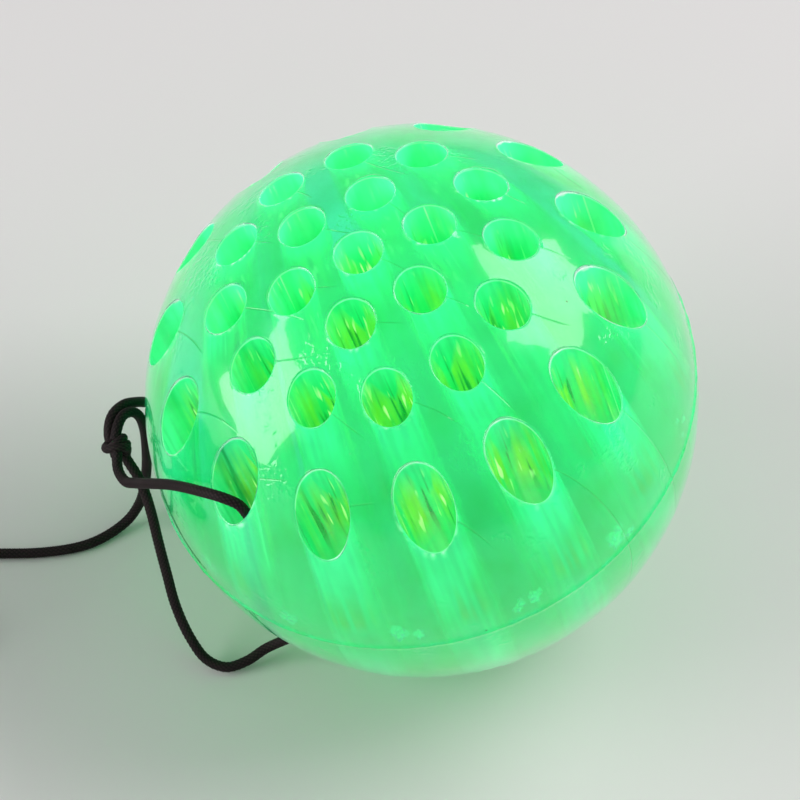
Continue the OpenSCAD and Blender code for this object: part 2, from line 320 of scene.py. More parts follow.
class WRISTBALL_OT_cord(bpy.types.Operator):
    """Makes the elastic cord with its loop, coil, knots and tie"""
    bl_idname = "wristball.cord"
    bl_label = "Cord"

    def execute(self, context):
        s = context.scene.wristball_cord
        yarn = braided_elastic(s)
        radius = s.diameter / 2

        def cord_piece(name, line, thick=radius):
            """A length of braided cord along a line, as a piece of the scene."""
            points, faces, height = braided(line, thick, s.pitch)
            piece = mesh_object(name, points, faces, yarn, flat=(len(faces) - 2, len(faces) - 1))
            mark(piece, "braid", height)
            return piece

        standing = along((*DROP_ROUTE, *TABLE_ROUTE, *coil_route(), *END_ROUTE), BRAID_STEP / MM) * MM
        foot = np.array(DROP_ROUTE[-1]) * MM
        cut = int(np.argmin(np.linalg.norm(standing - foot, axis=1)))
        drop = cord_piece("elastic_cord_drop", standing[:cut + 1])
        lead = cord_piece("elastic_cord_lead_and_coil", standing[cut:])
        looped = along((*LOOP_ROUTE, *TAIL_ROUTE), BRAID_STEP / MM) * MM
        loop = cord_piece("elastic_cord_loop", looped)
        # The knot is drawn up to the side where the loop pulls; the cord is squeezed thinner in both knots
        pulled = BALL_KNOT + np.array((0.5, -0.2, 0.1)) * MM
        turns = knot_line(pulled, axis=(-0.5, 0.71, 0.48), wrap=0.95 * MM, length=1.9 * MM, turns=2.3,
                          lift=0.5 * MM)
        closing = cord_piece("loop_knot", turns, 0.86 * radius)
        turns = knot_line(STRAP_KNOT, axis=(1, 0, 0), wrap=1.0 * MM, length=2.2 * MM, turns=2.4,
                          lift=0.75 * MM)
        stopper = cord_piece("strap_stopper_knot", turns, 0.9 * radius)
        tie = tie_piece()
        for piece, nodes in ((drop, ("cord_drop",)), (lead, ("cord_lead", "cord_coil", "cord_end")),
                             (loop, ("cord_loop", "cord_tail")), (closing, ("ball_knot",)),
                             (stopper, ("strap_knot",)), (tie, ("coil_tie",))):
            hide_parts(*nodes)
        for piece, body in ((loop, "ball"), (closing, "ball"), (stopper, "strap"), (tie, "strap")):
            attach(piece, body)
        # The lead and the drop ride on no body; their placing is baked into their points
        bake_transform(lead)
        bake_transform(drop)
        return {"FINISHED"}


# Tie round the coil

TIE_CENTRE = np.array((-68, -17.5, -30.329)) * MM
TIE_OUTER = np.array((4.0, 11.2, 4.1)) * MM
TIE_WALL = 0.4 * MM
TIE_BEND = 1.1 * MM
# The share of the tie's ends that is twisted together
TWIST_SHARE = 0.82


def coated_wire():
    """A wire between two strips of matt vinyl: chalk white, with a soft ridge over the wire and creases
    painted greyer, as painted shade.
    """
    material, add = new_material("matt_vinyl_twist_tie")
    place = add("TexCoord", out="Object")
    crease = add("TexNoise", (place, per_mm(0.8), 5.0))
    # The creases are painted greyer, as painted shade
    colour = add("Mix", (crease, linear("#CFCDC6"), linear("#EFEEE8")), data_type="RGBA")
    rough = add("MapRange", (crease, 0.0, 1.0, 0.45, 0.65))
    bump = add("Bump", {"Height": crease, "Strength": 0.4, "Distance": 0.08 * MM})
    shader = add("BsdfPrincipled", {"Base Color": colour, "Roughness": rough, "Normal": bump})
    add("OutputMaterial", {"Surface": shader})
    return material


def ribbon(line, flats, width, thick, wire):
    """A flat ribbon with a wire ridge, along a line; flats are the directions square to its flat sides."""
    ways = np.gradient(line, axis=0)
    ways /= np.linalg.norm(ways, axis=1)[:, None]
    flats = flats - ways * (flats * ways).sum(1)[:, None]
    flats /= np.linalg.norm(flats, axis=1)[:, None]
    wides = np.cross(flats, ways)
    w = np.array((-1, -0.96, -0.6, -0.25, -0.1, 0, 0.1, 0.25, 0.6, 0.96, 1)) * width / 2
    ridge = wire * np.exp(-(w / (0.11 * width)) ** 2)
    edge = np.where(np.abs(w) > 0.49 * width, 0.35, 1.0)
    top = edge * thick / 2 + ridge
    section = [*zip(w, top), *zip(w[::-1], -(edge * thick / 2)[::-1])]
    n, sides = len(line), len(section)
    points = np.array([line + x * wides + y * flats for x, y in section]).transpose(1, 0, 2).reshape(-1, 3)
    faces = between_rings(n, sides).reshape(-1, 4).tolist()
    faces += [list(range(sides)), list(range((n - 1) * sides, n * sides))[::-1]]
    return points, faces


def tie_piece():
    """A twist tie round both layers of the coil, its ends twisted together and laid on the turns."""
    reach_y, reach_z = (TIE_OUTER[1:] - TIE_WALL) / 2 - TIE_BEND
    line, flats = [], []
    for q, (sy, sz) in enumerate(((1, 1), (-1, 1), (-1, -1), (1, -1))):
        for t in np.linspace(0, 1, 9):
            a = math.pi / 2 * (q + t)
            flat = np.array((0, math.cos(a), math.sin(a)))
            line.append(TIE_CENTRE + (0, sy * reach_y, sz * reach_z) + TIE_BEND * flat)
            flats.append(flat)
    line.append(line[0])
    flats.append(flats[0])
    parts = [ribbon(np.array(line), np.array(flats), TIE_OUTER[0], thick=0.26 * MM, wire=0.12 * MM)]
    start = TIE_CENTRE + np.array((1.6, 1.0, TIE_OUTER[2] / MM / 2 + 0.1)) * MM
    end = start + np.array((8.5, 2.6, 0.1)) * MM
    way = (end - start) / np.linalg.norm(end - start)
    up = np.array((0, 0, 1.0))
    out = np.cross(way, up)
    t = np.linspace(0, 1, 60)[:, None]
    # Past the twist the two ends fan out
    loose = eased((t - TWIST_SHARE) / (1 - TWIST_SHARE))
    for phase in (0, math.pi):
        a = 2 * math.pi * 3.2 * t * (1 - 0.15 * t) + phase
        spin = np.cos(a) * up + np.sin(a) * out
        off = spin * (1 - loose) + np.cos(phase) * out * loose
        spread = 0.3 * MM + 1.2 * MM * loose
        line = start + (end - start) * t + off * spread
        parts.append(ribbon(line, spin, width=1.5 * MM, thick=0.2 * MM, wire=0.1 * MM))
    points, faces = joined(parts)
    piece = mesh_object("coil_twist_tie", points, faces, coated_wire())
    return piece


# Ball

class BallSizes(bpy.types.PropertyGroup):
    """Sizes and colours of the moulded ball"""
    diameter: FloatProperty(
        name="Diameter", description="Outside diameter", default=65 * MM, unit="LENGTH")
    bore: FloatProperty(
        name="Bore", description="Diameter of the inner bores", default=5.6 * MM, unit="LENGTH")
    outer_bore: FloatProperty(
        name="Outer bore", description="Diameter of the outer ring's bores", default=6.5 * MM, unit="LENGTH")
    inner_ring: FloatProperty(
        name="Inner ring", description="Radius of the inner ring of bores", default=8.5 * MM, unit="LENGTH")
    middle_ring: FloatProperty(
        name="Middle ring", description="Radius of the middle ring of bores", default=16.5 * MM,
        unit="LENGTH")
    outer_ring: FloatProperty(
        name="Outer ring", description="Radius of the outer ring of bores", default=25.9 * MM,
        unit="LENGTH")
    lean_direction: FloatProperty(
        name="Lean", description="Direction in which the ball leans", default=math.radians(202.3),
        subtype="ANGLE")
    rim_round: FloatProperty(
        name="Rim", description="Rounding of a bore's rim", default=0.11 * MM, unit="LENGTH")
    lip: FloatProperty(
        name="Lip", description="Height of the lip of flash round a bore", default=0.045 * MM, unit="LENGTH")
    flash: FloatProperty(
        name="Flash", description="Height of the flash line", default=0.25 * MM, unit="LENGTH")
    flash_width: FloatProperty(
        name="Flash width", description="Width of the flash line", default=0.6 * MM, unit="LENGTH")
    skin: FloatVectorProperty(
        name="Skin", description="Colour of the skin", default=linear("#20EE90")[:3], subtype="COLOR")
    skin_pale: FloatVectorProperty(
        name="Pale skin", description="Colour of the skin where it is cloudy", default=linear("#42F8BA")[:3],
        subtype="COLOR")
    # The bore wall colour is painted shade, for the walls deep in the ball
    wall: FloatVectorProperty(
        name="Bore wall", description="Colour of the bores deep in the ball", default=linear("#1CE678")[:3],
        subtype="COLOR")
    # The lit wall colour is painted light, for the walls near the skin and the mouths
    wall_lit: FloatVectorProperty(
        name="Lit wall", description="Colour of the bores near the skin", default=linear("#66FFC4")[:3],
        subtype="COLOR")
    # The streak colour is painted yellow light, for light that has come a long way through the dye
    streak: FloatVectorProperty(
        name="Streaks", description="Colour of the streaks in the bores", default=linear("#9AEE2C")[:3],
        subtype="COLOR")


INNER_COUNT, MIDDLE_COUNT, OUTER_COUNT = 6, 12, 14
BORE_SIDES = 56
BORE_ROWS = 22
SKIN_STEP = 0.85 * MM
LIP_ROWS = (0.0, 0.1 * MM, 0.22 * MM, 0.45 * MM)
FLASH_ROWS = (0.0, 0.1 * MM, 0.2 * MM, 0.3 * MM, 0.6 * MM, 1.1 * MM)
# The side of the centre bore that counts as its inner one
CENTRE_FACE = Vector((-0.37, -0.93))


def bore_list(s):
    """Each bore's axis in the ball's own frame, and its radius."""
    bores = [(Vector((0, 0)), s.bore / 2)]
    for count, radius, bore, start in ((INNER_COUNT, s.inner_ring, s.bore, 0),
                                       (MIDDLE_COUNT, s.middle_ring, s.bore, math.pi / MIDDLE_COUNT),
                                       (OUTER_COUNT, s.outer_ring, s.outer_bore, 0)):
        for i in range(count):
            a = start + 2 * math.pi * i / count
            bores.append((radius * Vector((math.cos(a), math.sin(a))), bore / 2))
    return bores


def ball_place(s):
    """The ball leans so far that it stands on the rim of an inner bore."""
    lean = math.asin(s.inner_ring / (s.diameter / 2))
    return Matrix.Rotation(s.lean_direction, 4, "Z") @ Matrix.Rotation(lean, 4, "Y")


def skin_point(x, y, radius):
    """Height of the skin over a point of the parting plane."""
    return math.sqrt(max(radius ** 2 - x ** 2 - y ** 2, 0.0))


def flattened(x, y, radius):
    """The equal-area map of the upper half skin."""
    across = math.hypot(x, y)
    if across < 1e-9:
        return Vector((0, 0))
    q = 2 * radius * math.sin(math.asin(min(across / radius, 1.0)) / 2)
    return Vector((x, y)) * (q / across)


def raised(q, radius):
    """A point of the equal-area map, back on the upper half skin."""
    far = q.length
    if far < 1e-9:
        return Vector((0, 0, radius))
    tilt = 2 * math.asin(min(far / (2 * radius), 1.0))
    flat = q * (radius * math.sin(tilt) / far)
    return Vector((flat.x, flat.y, radius * math.cos(tilt)))


def half_skin(s, bores):
    """Points and triangles of the upper half skin, and each bore's rim as point numbers."""
    radius = s.diameter / 2
    points, edges, rims = [], [], []
    for b, (centre, r) in enumerate(bores):
        for row, out in enumerate(LIP_ROWS):
            first = len(points)
            for k in range(BORE_SIDES):
                a = 2 * math.pi * k / BORE_SIDES
                # A moulded rim isn't quite round
                worn = 0.1 * MM * noise.noise(Vector((1.6 * math.cos(a), 1.6 * math.sin(a), 7.3 * b)))
                reach = r + max(0.06 * MM, s.rim_round + worn) + out
                x, y = centre.x + reach * math.cos(a), centre.y + reach * math.sin(a)
                points.append(flattened(x, y, radius))
            if row == 0:
                rims.append(list(range(first, first + BORE_SIDES)))
                edges += [(first + k, first + (k + 1) % BORE_SIDES) for k in range(BORE_SIDES)]
    rim_n = round(2 * math.pi * radius / (1.2 * SKIN_STEP))
    equator = []
    for row, up in enumerate(FLASH_ROWS):
        q = 2 * radius * math.sin((math.pi / 2 - up / radius) / 2)
        first = len(points)
        for k in range(rim_n):
            a = 2 * math.pi * (k + 0.5 * (row % 2)) / rim_n
            points.append(q * Vector((math.cos(a), math.sin(a))))
        if row == 0:
            equator = list(range(first, first + rim_n))
    reach = 2 * radius * math.sin((math.pi / 2 - (FLASH_ROWS[-1] + 0.6 * SKIN_STEP) / radius) / 2)
    rows = int(reach / (SKIN_STEP * math.sqrt(0.75))) + 1
    for j in range(-rows, rows + 1):
        for i in range(-rows - 1, rows + 2):
            q = Vector(((i + 0.5 * (j % 2)) * SKIN_STEP, j * SKIN_STEP * math.sqrt(0.75)))
            if q.length > reach:
                continue
            p = raised(q, radius)
            clear = s.rim_round + LIP_ROWS[-1] + 0.5 * SKIN_STEP
            if all((Vector((p.x, p.y)) - c).length > r + clear for c, r in bores):
                points.append(q)
    made, _, faces, origin, *_ = delaunay_2d_cdt(points, edges, [], 0, 1e-9)
    number = {o[0]: i for i, o in enumerate(origin) if o}
    skin = [raised(q, radius) for q in made]
    mouth = {number[i]: b for b, ring in enumerate(rims) for i in ring}
    kept = []
    for f in faces:
        if len({mouth.get(i, -1 - i) for i in f}) > 1:
            kept.append(f if (made[f[1]] - made[f[0]]).cross(made[f[2]] - made[f[0]]) > 0 else f[::-1])
    rims = [[number[i] for i in ring] for ring in rims]
    return skin, kept, rims, {number[i] for i in equator}


# The side of a bore's rim that keeps beads of torn flash, in the ball's own frame
BEAD_SIDE = Vector((0.38, 0.925))


def skin_lift(s, p, bores, tones):
    """How far the skin stands off the true sphere (waviness, the lips round the bores and the flash line),
    and how far it is a bead of torn flash, from 0 to 1."""
    radius = s.diameter / 2
    lift = 0.03 * MM * noise.noise(p / (5 * MM)) + 0.018 * MM * noise.noise(p / (1.7 * MM))
    bead = 0.0
    for (centre, r), tone in zip(bores, tones):
        off = Vector((p.x, p.y)) - centre
        out = off.length - r - s.rim_round
        if out < 1.2 * MM:
            around = Vector((off.x, off.y, math.copysign(3 * MM, p.z)))
            crumbs = max(0.0, noise.noise(around / (0.5 * MM) + Vector((tone * 40, 0, 0))))
            worn = 0.5 + noise.noise(around / (2.5 * MM) + Vector((0, tone * 40, 0)))
            crest = math.exp(-((out - 0.06 * MM) / (0.16 * MM)) ** 2)
            lift += s.lip * max(worn, 0.1) * (1 + 5 * tone * crumbs) * crest
            # Flash tears off the side that the flow meets last, so the beads stand there
            late = max(0.0, off.normalized().dot(BEAD_SIDE))
            bead = max(bead, min(1.0, 4 * tone * late * crumbs * crest))
    up = abs(math.asin(max(-1, min(1, p.z / p.length)))) * radius
    rag = 0.8 + 0.35 * noise.noise(p / (1.1 * MM))
    lift += s.flash * rag * max(0.0, 1 - up / (s.flash_width / 2)) ** 1.3
    return lift, bead


# The way the rubber flowed past the pins that left the bores, in the ball's own frame
FLOW = math.radians(133)
# A point's place by a weld line where no line is near: far off, and past the line's end
NO_LINE = (9.0, -100.0)


def weld_list(bores):
    """Behind each bore the flow closes in a weld line: its direction, length and bend."""
    draw = random.Random(9)
    welds = []
    for _ in bores:
        turn = FLOW + draw.uniform(-0.4, 0.4)
        way = Vector((math.cos(turn), math.sin(turn)))
        welds.append((way, draw.uniform(3, 9) * MM, draw.uniform(-35, 35)))
    return welds


def weld_place(p, bores, welds):
    """A skin point's distance off the nearest weld line and the length from there to the line's end, in
    millimetres; they are NO_LINE where no line is near."""
    best = NO_LINE
    for (centre, r), (way, length, bend) in zip(bores, welds):
        off = Vector((p.x, p.y)) - centre
        ahead = off.dot(way) - r
        if -0.5 * MM < ahead < length + 1 * MM:
            aside = (way.cross(off) - bend * ahead ** 2) / MM
            if abs(aside) < min(1.2, abs(best[0])):
                best = (aside, (length - ahead) / MM)
    return best


# What each point keeps for the material: its depth in a bore, its share of the bore's side that faces the
# ball's middle, its place across that side, its place by a weld line and its share of a bead of torn flash,
# which on the air pockets is their painted highlight
MARKS = ("bore_depth", "bore_inner", "bore_across", "weld_off", "weld_left", "bead")


def wall_line(s, b, centre, r, way, rims):
    """Points down a bore's wall, on the side that way points to, between the points of its two rims: the
    rims' roundings and the uneven wall between them. The last value is the height of the skin there."""
    edge = centre + r * way
    top = skin_point(edge.x, edge.y, s.diameter / 2)
    rounds = []
    for side, start in zip((1, -1), rims):
        corner = Vector((edge.x, edge.y, side * top))
        end = Vector((edge.x, edge.y, side * (top - s.rim_round)))
        rounds.append([(1 - t) ** 2 * start + 2 * t * (1 - t) * corner + t * t * end
                       for t in (0.3, 0.6, 1.0)])
    straight = []
    for j in range(1, BORE_ROWS):
        z = math.sin(math.pi / 2 * (1 - 2 * j / BORE_ROWS)) * (top - s.rim_round)
        flow = Vector((way.x * 4, way.y * 4, z / (14 * MM) + 9 * b))
        score = 0.07 * MM * noise.noise(flow) + 0.03 * MM * noise.noise(2.3 * flow)
        straight.append(Vector((*(centre + (r + score) * way), z)))
    return rounds[0] + straight + rounds[1][::-1], top


def ball_mesh(s):
    """Points and faces of the whole ball in its own frame, the number of faces without the air pockets', and
    each point's row of MARKS, with lengths in millimetres."""
    radius = s.diameter / 2
    bores = bore_list(s)
    draw = random.Random(7)
    tones = [draw.random() for _ in bores]
    welds = weld_list(bores)
    skin, half, rims, equator = half_skin(s, bores)
    points, faces, marks = [], [], []
    number = {1: {}, -1: {}}
    for side in (1, -1):
        for i, p in enumerate(skin):
            if side < 0 and i in equator:
                number[side][i] = number[1][i]
                continue
            q = Vector((p.x, p.y, side * p.z))
            number[side][i] = len(points)
            lift, bead = skin_lift(s, q, bores, tones)
            points.append(q * (1 + lift / radius))
            marks.append((0.0, 0.0, 0.0, *weld_place(q, bores, welds), bead))
        for f in half:
            f = [number[side][i] for i in f]
            faces.append(f if side > 0 else f[::-1])
    for b, (centre, r) in enumerate(bores):
        inward = -centre.normalized() if centre.length else CENTRE_FACE
        lines = []
        for k, i in enumerate(rims[b]):
            a = 2 * math.pi * k / BORE_SIDES
            way = Vector((math.cos(a), math.sin(a)))
            first, last = number[1][i], number[-1][i]
            line, top = wall_line(s, b, centre, r, way, (points[first], points[last]))
            lines.append([first, *range(len(points), len(points) + len(line)), last])
            points += line
            facing, aside = 0.5 + 0.5 * way.dot(inward), way.cross(inward) * r / MM
            marks += [(max(0.0, (top - abs(p.z)) / MM), facing, aside, *NO_LINE, 0.0) for p in line]
        for a, c in zip(lines, lines[1:] + lines[:1]):
            faces += [(a[j], a[j + 1], c[j + 1], c[j]) for j in range(len(a) - 1)]
    solid = len(faces)
    air, shells, pale = air_pockets(s, bores)
    faces += [[len(points) + i for i in f] for f in shells]
    # The pockets' painted highlight goes in the bead mark, which paints them paler and makes them glow
    marks += [(0.0, 0.0, 0.0, *NO_LINE, share) for share in pale]
    return points + air, faces, solid, marks


# Torn pockets between two outer bores, and bubbles in the whole ball
POCKETS, BUBBLES = 3, 130


def air_pockets(s, bores):
    """Points and faces of the air caught in the rubber: torn pockets between the outer bores at the parting
    plane, and small round bubbles under the skin. Their faces look inwards, as the air is inside. The last
    list says how pale each point is painted: the torn pockets get a painted highlight."""
    draw = random.Random(5)
    radius = s.diameter / 2
    places = []
    for i in range(OUTER_COUNT):
        a = 2 * math.pi * (i + 0.5) / OUTER_COUNT
        for _ in range(POCKETS):
            far = radius - draw.uniform(1.6, 4.2) * MM
            b = a + draw.uniform(-0.045, 0.045)
            size = draw.uniform(0.3, 1.0) * MM
            p = Vector((far * math.cos(b), far * math.sin(b), draw.uniform(-0.7, 1.5) * MM))
            places.append((p, size, 0.9))
    while len(places) < POCKETS * OUTER_COUNT + BUBBLES:
        way = Vector((draw.gauss(0, 1), draw.gauss(0, 1), draw.gauss(0, 1))).normalized()
        size = draw.uniform(0.07, 0.17) * MM
        p = way * (radius - draw.uniform(0.5, 3.5) * MM)
        if all((Vector((p.x, p.y)) - c).length > r + 2 * size for c, r in bores):
            places.append((p, size, 0.0))
    points, faces, pale = [], [], []
    for p, size, torn in places:
        ball = bmesh.new()
        bmesh.ops.create_icosphere(ball, subdivisions=2, radius=1)
        start = len(points)
        for v in ball.verts:
            swell = 1 + torn * noise.noise(v.co * 1.7 + p / (1 * MM))
            points.append(p + size * swell * v.co)
            # Torn pockets are painted paler, as a painted highlight
            pale.append(0.12 * torn)
        faces += [[start + v.index for v in f.verts][::-1] for f in ball.faces]
        ball.free()
    return points, faces, pale


def moulded_rubber(s):
    """Moulded thermoplastic rubber with a fluorescent green dye: a wet-looking skin, a painted glow in place
    of the light that the dye gathers, bores that show through it as paler tubes, and painted yellower light
    deep in the bores, where light would have come a long way through the dye."""
    material, add = new_material("moulded_clear_green_TPR")
    place = add("TexCoord", out="Object")
    own = add("Mapping", {"Vector": place, "Rotation": ball_place(s).inverted().to_euler()})
    depth, inner, across, weld_off, weld_left, bead, below = [
        add("Attribute", out="Fac", attribute_name=name) for name in (*MARKS, "skin_distance")]
    wall = add("MapRange", (depth, 0.05, 0.5))

    # Painted light by side: the bores' painted yellow light is stronger on the side away from the soft boxes,
    # and the mouths are painted paler on the side towards them
    from_middle = add("SeparateXYZ", (place,)).node.outputs
    lamp_far_side = add("MapRange", (from_middle["Y"], -14 * MM, 8 * MM, 1.0, 0.22), interpolation_type="SMOOTHSTEP")
    pale = add("MapRange", (lamp_far_side, 1.0, 0.5, 0.0, 0.8))
    mouth = add("MapRange", (depth, 1.5, 9.0, 1.0, 0.0), interpolation_type="SMOOTHSTEP")
    mouth = add("Math", (mouth, pale), operation="MULTIPLY")

    # Painted light and shade: where daylight would reach the outer walls and the mouths they are painted a
    # glowing mint; further in the walls are painted deeper green, as painted shade
    near = add("MapRange", (below, 2.0, 12.0, 1.0, 0.0), interpolation_type="SMOOTHSTEP")
    open_end = add("MapRange", (depth, 1.0, 17.0, 1.0, 0.15), interpolation_type="SMOOTHSTEP")
    away = add("MapRange", (inner, 0.05, 0.6), interpolation_type="SMOOTHSTEP")
    shade = add("Math", (away, -0.8, 1.0), operation="MULTIPLY_ADD")
    lit = add("Math", (near, open_end), operation="MULTIPLY")
    lit = add("Math", (lit, shade), operation="MULTIPLY")
    lit = add("Math", (lit, mouth), operation="MAXIMUM")
    cloud = add("TexNoise", (place, per_mm(7), 3.0))
    uneven = add("MapRange", (cloud, 0.3, 0.7, 0.65, 1.35))
    skin = add("Mix", (uneven, (*s.skin, 1), (*s.skin_pale, 1)), data_type="RGBA")
    walls = add("Mix", (lit, (*s.wall, 1), (*s.wall_lit, 1)), data_type="RGBA")
    colour = add("Mix", (wall, skin, walls), data_type="RGBA")

    # The neighbouring bore's view through the inner wall is painted on, as painted refraction: a green arch
    # with a dark line down its middle
    tall = add("VectorMath", (own, (1, 1, 0.05)), operation="MULTIPLY")
    drift = add("TexNoise", (tall, per_mm(9)))
    drift = add("MapRange", (drift, 0.3, 0.7, -1.1, 1.1))
    spot = add("Math", (across, drift), operation="ADD")
    bow = add("Math", (spot, spot), operation="MULTIPLY")
    arch = add("Math", (bow, -2.4, 6.4), operation="MULTIPLY_ADD")
    arch = add("Math", (arch, depth), operation="SUBTRACT")
    arch = add("MapRange", (arch, -0.9, 0.5))
    line = add("Math", (spot,), operation="ABSOLUTE")
    line = add("MapRange", (line, 0.03, 0.16, 0.8, 0.0))

    # Draw marks run along the bores below it; on them painted yellow light, for the long light path, shows as
    # broad yellow-green strokes, and a few dark olive strokes are painted shade
    streak = add("TexNoise", (tall, per_mm(1.4), 1.5, 0.7))
    stroke = add("TexNoise", (tall, per_mm(0.6), 0.5))
    enter = add("MapRange", (depth, 0.8, 6.5))
    leave = add("MapRange", (depth, 11.0, 16.0, 1.0, 0.0))
    side = add("MapRange", (inner, 0.45, 0.75))
    deep = add("Math", (enter, leave), operation="MULTIPLY")
    deep = add("Math", (deep, side), operation="MULTIPLY")
    line = add("Math", (line, deep), operation="MULTIPLY")
    line = add("Math", (line, arch), operation="MULTIPLY")
    open_wall = add("Math", (1.0, arch), operation="SUBTRACT")
    open_wall = add("Math", (open_wall, deep), operation="MULTIPLY")
    yellow = add("MapRange", (streak, 0.4, 0.58, 0.1, 1.0))
    yellow = add("Math", (open_wall, yellow), operation="MULTIPLY")
    yellow = add("Math", (yellow, lamp_far_side), operation="MULTIPLY")
    olive = add("MapRange", (stroke, 0.37, 0.29))
    olive = add("Math", (open_wall, olive), operation="MULTIPLY")
    olive = add("Math", (olive, line), operation="MAXIMUM")
    olive = add("Math", (olive, lamp_far_side), operation="MULTIPLY")

    # Flecks of painted yellow light show on the tubes' outer sides, just above the parting plane
    level = add("SeparateXYZ", (own,), out="Z")
    over = add("MapRange", (level, -0.5 * MM, 1.5 * MM))
    under = add("MapRange", (level, 2 * MM, 8 * MM, 1.0, 0.0))
    outside = add("MapRange", (inner, 0.1, 0.35, 1.0, 0.0))
    fleck = add("MapRange", (streak, 0.46, 0.56))
    for share in (over, under, outside, wall):
        fleck = add("Math", (fleck, share), operation="MULTIPLY")

    # Glints on the deeper draw marks, and a broken line of light along a tube's side
    short = add("VectorMath", (own, (1, 1, 0.1)), operation="MULTIPLY")
    glint = add("TexNoise", (short, per_mm(0.42), 0.0))
    glint = add("MapRange", (glint, 0.68, 0.78))
    glint = add("Math", (glint, deep), operation="MULTIPLY")
    edge = add("Math", (inner, 0.43, 0.014), operation="COMPARE")
    broken = add("MapRange", (streak, 0.5, 0.62))
    for share in (broken, near, wall):
        edge = add("Math", (edge, share), operation="MULTIPLY")

    # Light gathers in the thin rims of the bores
    thin = add("MapRange", (depth, 0.2, 0.42, 1.0, 0.0))
    begin = add("MapRange", (depth, 0.0, 0.12))
    rim = add("Math", (begin, thin), operation="MULTIPLY")

    # Specks of dust on the tacky skin, and the weld lines where the flow closed behind the bores; the lines
    # are painted darker, as painted shade where their grooves bend the light away
    dust = add("TexVoronoi", (place, per_mm(7)))
    dust = add("MapRange", (dust, 0.012, 0.024, 0.9, 0.0))
    dust = add("Mix", (wall, dust, 0.0))
    weld = add("Math", (weld_off,), operation="ABSOLUTE")
    weld = add("MapRange", (weld, 0.02, 0.1, 1.0, 0.0))
    ending = add("MapRange", (weld_left, 0.0, 1.5))
    weld = add("Math", (weld, ending), operation="MULTIPLY")
    weld_shade = add("Math", (weld, 0.45), operation="MULTIPLY")

    # The bead paint is the whiter torn flash, and on the air pockets a painted highlight
    for share, paint in ((yellow, (*s.streak, 1)), (olive, linear("#2A7E1E")), (fleck, linear("#AADC46")),
                         (glint, linear("#E0FFA8")), (edge, linear("#9CFFB4")), (rim, linear("#9CFFCE")),
                         (bead, linear("#D6FFE2")), (dust, linear("#0A2A10")), (weld_shade, linear("#12A254"))):
        colour = add("Mix", (share, colour, paint), data_type="RGBA")

    # The weld lines are sunk, a fine unevenness tears the reflections' edges, and here and there the skin is
    # pitted where it tore from the mould
    grain = add("TexNoise", (place, per_mm(2.0), 3.0))
    height = add("Math", (weld, -6.0, grain), operation="MULTIPLY_ADD")
    patch = add("MapRange", (cloud, 0.58, 0.64))
    pits = add("TexNoise", (place, per_mm(0.7), 1.0))
    pits = add("MapRange", (pits, 0.45, 0.6, 0.0, 6.0))
    pits = add("Math", (pits, patch), operation="MULTIPLY")
    height = add("Math", (height, pits), operation="ADD")
    marks = add("Math", (streak, 6.0), operation="MULTIPLY")
    marks = add("Math", (marks, lamp_far_side), operation="MULTIPLY")
    height = add("Mix", (wall, height, marks))
    bump = add("Bump", {"Height": height, "Strength": 1.0, "Distance": 0.006 * MM})
    rough = add("MapRange", (grain, 0.35, 0.7, 0.16, 0.24))
    rough = add("Mix", (wall, rough, 0.1))

    # Painted glow in place of the light that the dye gathers: more in the lit walls, painted brighter in the
    # ball's upper half as painted light from above, less in the fine draw marks
    glow = add("MapRange", (lit, 0.0, 1.0, 0.21, 0.30))
    glow = add("Math", (glow, uneven), operation="MULTIPLY")
    fine = add("MapRange", (stroke, 0.35, 0.65, 0.72, 1.28))
    fine = add("Mix", (lamp_far_side, 1.0, fine))
    glow = add("Math", (glow, fine), operation="MULTIPLY")
    skin_glow = add("Math", (uneven, 0.12), operation="MULTIPLY")
    glow = add("Mix", (wall, skin_glow, glow))
    # The upper half is painted brighter, as painted light from above
    upper = add("MapRange", (from_middle["Z"], -24 * MM, 20 * MM, 0.68, 1.18))
    glow = add("Math", (glow, upper), operation="MULTIPLY")
    # The glints, tube edges, rims and beads add painted glow
    for share, strength in ((glint, 0.35), (edge, 0.2), (rim, 0.22), (bead, 0.35)):
        glow = add("Math", (share, strength, glow), operation="MULTIPLY_ADD")

    clear = add("MapRange", (inner, 0.0, 1.0, 0.38, 0.4))
    clear = add("Mix", (wall, 0.82, clear))
    shader = add("BsdfPrincipled", {
        "Base Color": colour, "Roughness": rough, "Normal": bump, "IOR": 1.38, "Transmission Weight": clear,
        "Coat Weight": 0.9, "Coat Roughness": 0.05, "Coat Normal": bump,
        "Emission Color": colour, "Emission Strength": glow})
    add("OutputMaterial", {"Surface": shader})
    return material


class WRISTBALL_OT_ball(bpy.types.Operator):
    """Makes the moulded ball with its bores"""
    bl_idname = "wristball.ball"
    bl_label = "Ball"

    def execute(self, context):
        s = context.scene.wristball_ball
        points, faces, solid, marks = ball_mesh(s)
        ball = mesh_object("moulded_ball", points, faces, moulded_rubber(s), ball_place(s),
                           range(solid, len(faces)))
        for name, values in zip(MARKS, zip(*marks)):
            mark(ball, name, values)
        mark(ball, "skin_distance", [max(0.0, s.diameter / 2 - p.length) / MM for p in points])
        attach(ball, "ball")
        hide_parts("ball")
        return {"FINISHED"}


# Strap

